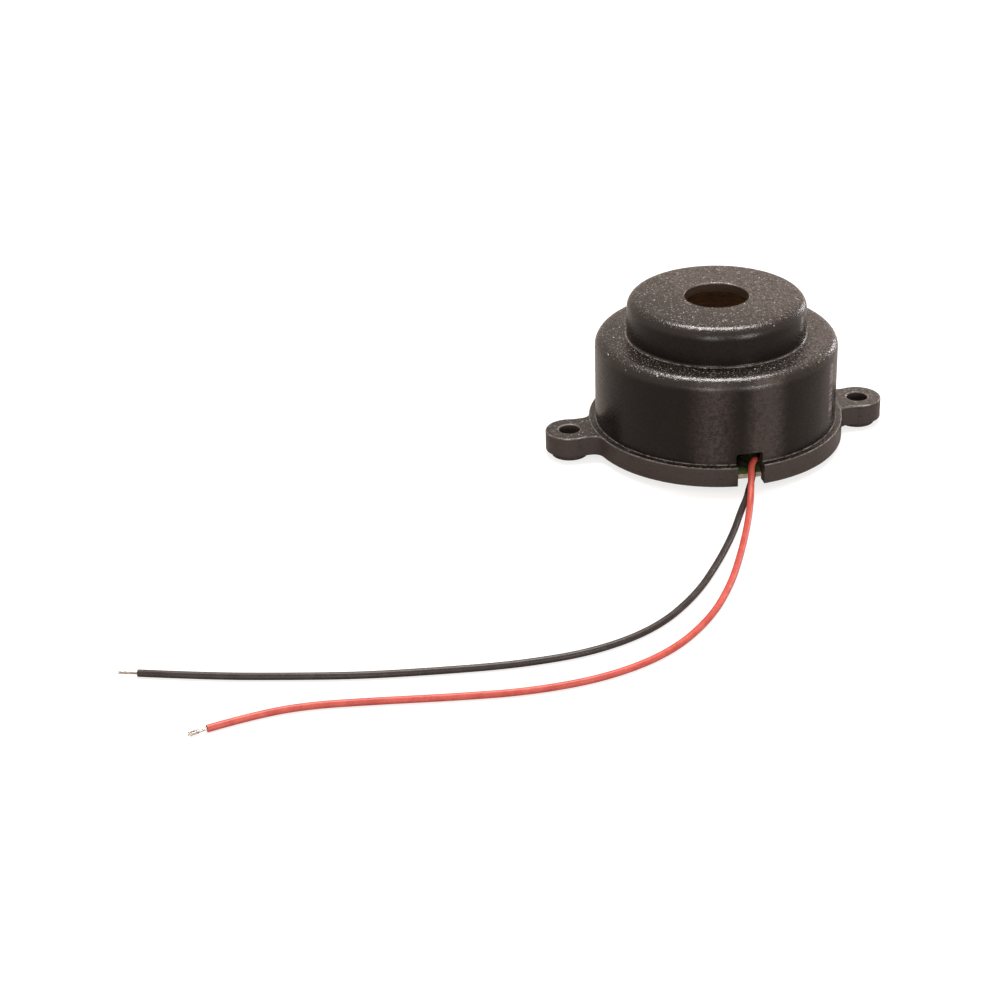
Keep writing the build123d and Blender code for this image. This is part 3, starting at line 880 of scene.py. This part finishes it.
finishes = {
    "housing": moulded_case(),
    "circuit_board": board_laminate(legs, tracks),
    "board_joints": solder_finish,
    "lead_joints": solder_finish,
    "board_bumps": solder_finish,
    "diaphragm_bumps": solder_finish,
    "board_adhesive": silicone_finish,
    "diaphragm_adhesive": silicone_finish,
    "diaphragm": brass_finish,
    "ceramic_disc": ceramic_finish,
    "main_electrode": silver_finish,
    "feedback_electrode": silver_finish,
    "capacitor": dipped_finish,
    "transistor": resin_finish,
    "coil_core": ferrite_finish,
    "coil_winding": wound_copper(),
    "ground_jumper": sleeve_finish,
    "drive_jumper": sleeve_finish,
    "feedback_jumper": sleeve_finish,
    "diode": banded_body(
        "glass diode", centre=(-0.4, -5.6, 0), turn=0, body=glass, bands=((1.3, 0.5, ink),), rough=0.12
    ),
}
for name, paints in coding.items():
    x, y, turn = seats[name]
    bands = [(middle, band_w, paint) for middle, paint in zip(bands_at, paints)]
    finishes[name] = banded_body(
        name + " enamel", centre=(x, y, 0), turn=turn, body=tan, bands=bands, rough=0.28
    )
for name, material in finishes.items():
    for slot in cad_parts[name].material_slots:
        slot.material = material

# Leads ride with the case, each with the bare strands at its end.
for lead, strands, colour, material, length in (
    (red_lead, red_strands, "red", red_finish, 0.0977),
    (black_lead, black_strands, "black", black_finish, 0.0991),
):
    lead.data.materials.append(material)
    strands.data.materials.append(tin_finish)
    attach(lead, "root")
    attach(strands, "root")
    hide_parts("lead_" + colour)
    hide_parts("lead_" + colour + "_end")

# Table: a card that keeps the shadow. It glows up to white for the camera, and with a warm
# share of that in gloss and glass.
table_grey = (0.35, 0.35, 0.35, 1)
table_pale = (0.37, 0.37, 0.37, 1)
glow_strength = 0.76
glow_share_in_gloss = 0.2
glow_in_gloss = (1, 0.6, 0.4, 1)
bpy.ops.object.select_all(action="DESELECT")
bpy.ops.mesh.primitive_plane_add(size=6, location=(0, 0, 0))
table = bpy.context.object
table.name = "table"
card, desk, shader = finish("white card")
fibre = desk.noise(place_in_mm(desk), 0.2, 2.0, 0.5)
desk.set(shader.inputs["Base Color"], desk.blend(fibre, table_grey, table_pale))
shader.inputs["Roughness"].default_value = 0.9
shader.inputs["Specular IOR Level"].default_value = 0.1
rays = desk.node("ShaderNodeLightPath")
in_gloss = desk.plus(rays.outputs["Is Glossy Ray"], rays.outputs["Is Transmission Ray"])
seen = desk.plus(rays.outputs["Is Camera Ray"], desk.times(in_gloss, glow_share_in_gloss))
glow = desk.node("ShaderNodeEmission")
desk.set(glow.inputs["Strength"], desk.times(seen, glow_strength))
desk.set(glow.inputs["Color"], desk.blend(in_gloss, white, glow_in_gloss))
both = desk.node("ShaderNodeAddShader")
desk.links.new(shader.outputs[0], both.inputs[0])
desk.links.new(glow.outputs[0], both.inputs[1])
desk.links.new(both.outputs[0], desk.nodes["Material Output"].inputs["Surface"])
table.data.materials.append(card)

lamps_aim = mm(0, 0, 10)


def softbox(name, bearing, height, distance, width, tall, power, tint=(1, 1, 1)):
    """A soft rectangular lamp round the buzzer and turned to it, in metres and watts.

    The bearing is in degrees from the slot side towards the right, and the height in degrees
    above the floor. Past 90 the lamp stands on the far side.
    """
    out = distance * cos(radians(height))
    place = Vector((
        out * sin(radians(bearing)), -out * cos(radians(bearing)), distance * sin(radians(height))
    ))
    lamp = bpy.data.lights.new(name, "AREA")
    lamp.shape = "RECTANGLE"
    lamp.size = width
    lamp.size_y = tall
    lamp.energy = power
    lamp.color = tint
    holder = bpy.data.objects.new(name, lamp)
    bpy.context.scene.collection.objects.link(holder)
    holder.location = place
    holder.rotation_euler = (lamps_aim - place).to_track_quat("-Z", "Y").to_euler()


softbox(
    "overhead softbox", bearing=-16, height=103, distance=0.45, width=0.3, tall=0.085, power=2.6,
    tint=(1, 0.96, 0.92),
)
softbox("left front strip", bearing=-22, height=8, distance=0.5, width=0.08, tall=0.16, power=0.5)
softbox("right front strip", bearing=22, height=8, distance=0.5, width=0.08, tall=0.16, power=0.65)
softbox("right back strip", bearing=124, height=7, distance=0.4, width=0.025, tall=0.1, power=0.18)

# Studio walls: warm and about even, a little dimmer behind the buzzer and to its right, and
# white where the camera looks
studio_bright = 0.68
studio_dim = 0.64
studio_warm = (1.0, 0.85, 0.75, 1)
world = bpy.data.worlds.new("studio")
bpy.context.scene.world = world
world.use_nodes = True
desk = Desk(world.node_tree)
backdrop = world.node_tree.nodes["Background"]
rays = desk.node("ShaderNodeLightPath")
bearing = desk.node("ShaderNodeTexCoord").outputs["Generated"]
dim_side = Vector((0.45, 0.78, 0.43)).normalized()
facing = desk.vector("DOT_PRODUCT", bearing, dim_side)
studio = desk.ramp(facing, -0.3, 0.97, studio_bright, studio_dim)
straight = desk.math("ADD", rays.outputs["Is Camera Ray"], rays.outputs["Is Transmission Ray"], clamp=True)
desk.set(backdrop.inputs["Color"], desk.blend(straight, studio_warm, white))
desk.set(backdrop.inputs["Strength"], desk.fade(straight, studio, 1.0))

bpy.context.scene.view_settings.view_transform = "Standard"
